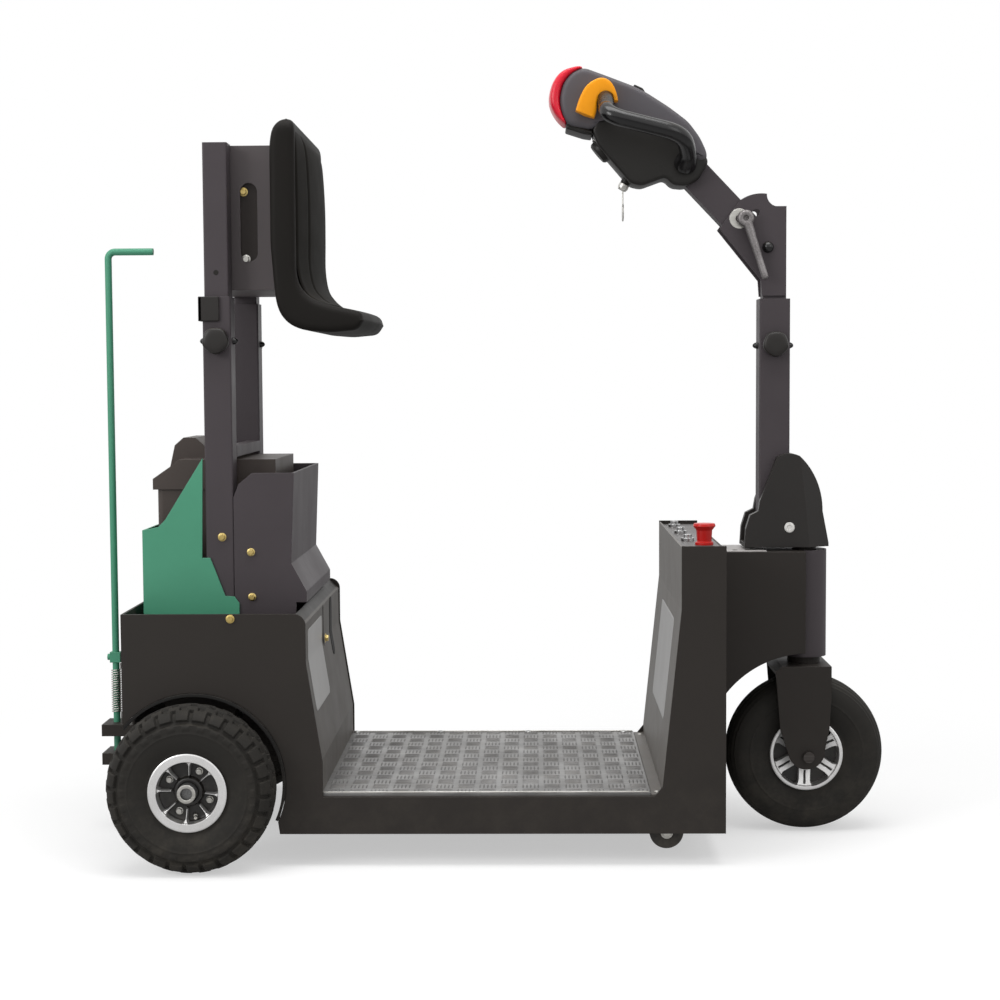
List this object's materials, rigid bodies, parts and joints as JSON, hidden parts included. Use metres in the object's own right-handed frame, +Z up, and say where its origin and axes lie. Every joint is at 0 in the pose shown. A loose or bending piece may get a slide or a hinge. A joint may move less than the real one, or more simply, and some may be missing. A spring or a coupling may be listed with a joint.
{
  "type": "electric tow tractor",
  "caption": "Stand-on electric tow tractor with a low deck, lean seat on sliding masts, tilting tiller with hand loops, rear battery and a sprung tow pin.",
  "frame": {"origin": "on the floor below the middle of the bounding box", "axes": "+X points the way the tractor drives, from tow pin to front wheel; +Y is the rider's left; +Z is up"},
  "size_m": [1.352, 0.68, 1.3065],
  "materials": {
    "chassis_paint": "anthracite powder coat, satin",
    "tube_paint": "dark grey powder coat, satin",
    "green_paint": "green powder coat, satin",
    "panel_grey": "mid grey powder coat, satin",
    "deck_aluminium": "bare chequer plate",
    "rim_aluminium": "turned, bright",
    "tyre": "matt rubber",
    "trim_rubber": "matt rubber",
    "black_plastic": "moulded, satin",
    "gloss_black": "gloss",
    "head_grey": "moulded, fine grain",
    "battery_plastic": "moulded, dark brown",
    "seat_vinyl": "soft vinyl over foam",
    "red_plastic": "gloss",
    "yellow_plastic": "gloss",
    "zinc": "zinc plated",
    "steel_dark": "dark, oiled",
    "cast_iron": "painted casting"
  },
  "bodies": {
    "chassis": {"side_plate_left": "chassis_paint", "side_plate_right": "chassis_paint", "arch_trims": "trim_rubber", "deck_plate": "deck_aluminium", "deck_bearers": "chassis_paint", "kick_panel": "panel_grey", "rear_box": "chassis_paint", "tower_panel": "tube_paint", "tower_front": "chassis_paint", "tower_top": "panel_grey", "stop_button": "red_plastic", "top_fittings": "rim_aluminium", "neck_box": "chassis_paint", "head_tube": "tube_paint", "drive_axle": "cast_iron", "drive_motor": "steel_dark", "axle_hangers": "chassis_paint", "masts_lower": "tube_paint", "mast_housing": "tube_paint", "battery_case": "battery_plastic", "battery_lid": "battery_plastic", "battery_holder": "green_paint", "mast_knobs": "black_plastic", "tow_jaws": "chassis_paint", "roller_brackets": "chassis_paint", "return_spring": "zinc"},
    "steering": {"fork": "chassis_paint", "front_axle": "steel_dark", "steering_hood": "black_plastic", "column_lower": "tube_paint", "column_knob": "black_plastic"},
    "front_wheel": {"front_tyre": "tyre", "front_rim": "rim_aluminium"},
    "column": {"column_upper": "tube_paint", "tilt_pivot": "steel_dark"},
    "tiller": {"tiller_arm": "tube_paint", "clamp_lever": "zinc", "tiller_head": "head_grey", "belly_button": "red_plastic", "hand_loops": "gloss_black", "speed_wings": "yellow_plastic", "key": "zinc"},
    "seat": {"masts_upper": "tube_paint", "seat_bracket": "chassis_paint", "seat_shell": "black_plastic", "seat_pad": "seat_vinyl"},
    "rear_wheel_left": {"rear_tyre_left": "tyre", "rear_rim_left": "rim_aluminium"},
    "rear_wheel_right": {"rear_tyre_right": "tyre", "rear_rim_right": "rim_aluminium"},
    "roller_wheel_left": {"roller_left": "black_plastic"},
    "roller_wheel_right": {"roller_right": "black_plastic"},
    "pin": {"tow_pin": "green_paint"}
  },
  "joints": [
    {"name": "steer", "type": "hinge", "parent": "chassis", "child": "steering", "pos_m": [0.541, 0, 0.135], "axis": [0, 0, 1], "range_deg": [-70, 70]},
    {"name": "front_wheel_spin", "type": "hinge", "parent": "steering", "child": "front_wheel", "pos_m": [0.541, 0, 0.135], "axis": [0, 1, 0], "continuous": true},
    {"name": "column_height", "type": "slide", "parent": "steering", "child": "column", "axis": [0, 0, 1], "range_m": [0, 0.12]},
    {"name": "tiller_tilt", "type": "hinge", "parent": "column", "child": "tiller", "pos_m": [0.474, 0, 1.002], "axis": [0, 1, 0], "range_deg": [0, 20]},
    {"name": "seat_height", "type": "slide", "parent": "chassis", "child": "seat", "axis": [0, 0, 1], "range_m": [0, 0.12]},
    {"name": "rear_left_spin", "type": "hinge", "parent": "chassis", "child": "rear_wheel_left", "pos_m": [-0.472, 0.295, 0.135], "axis": [0, 1, 0], "continuous": true},
    {"name": "rear_right_spin", "type": "hinge", "parent": "chassis", "child": "rear_wheel_right", "pos_m": [-0.472, -0.295, 0.135], "axis": [0, 1, 0], "continuous": true},
    {"name": "roller_left_spin", "type": "hinge", "parent": "chassis", "child": "roller_wheel_left", "pos_m": [0.286, 0.238, 0.0525], "axis": [0, 1, 0], "continuous": true},
    {"name": "roller_right_spin", "type": "hinge", "parent": "chassis", "child": "roller_wheel_right", "pos_m": [0.286, -0.238, 0.0525], "axis": [0, 1, 0], "continuous": true},
    {"name": "tow_pin_lift", "type": "slide", "parent": "chassis", "child": "pin", "axis": [0, 0, 1], "range_m": [0, 0.06], "stiffness_N_per_m": 250, "springref_m": -0.06, "deforming": ["return_spring"]}
  ]
}
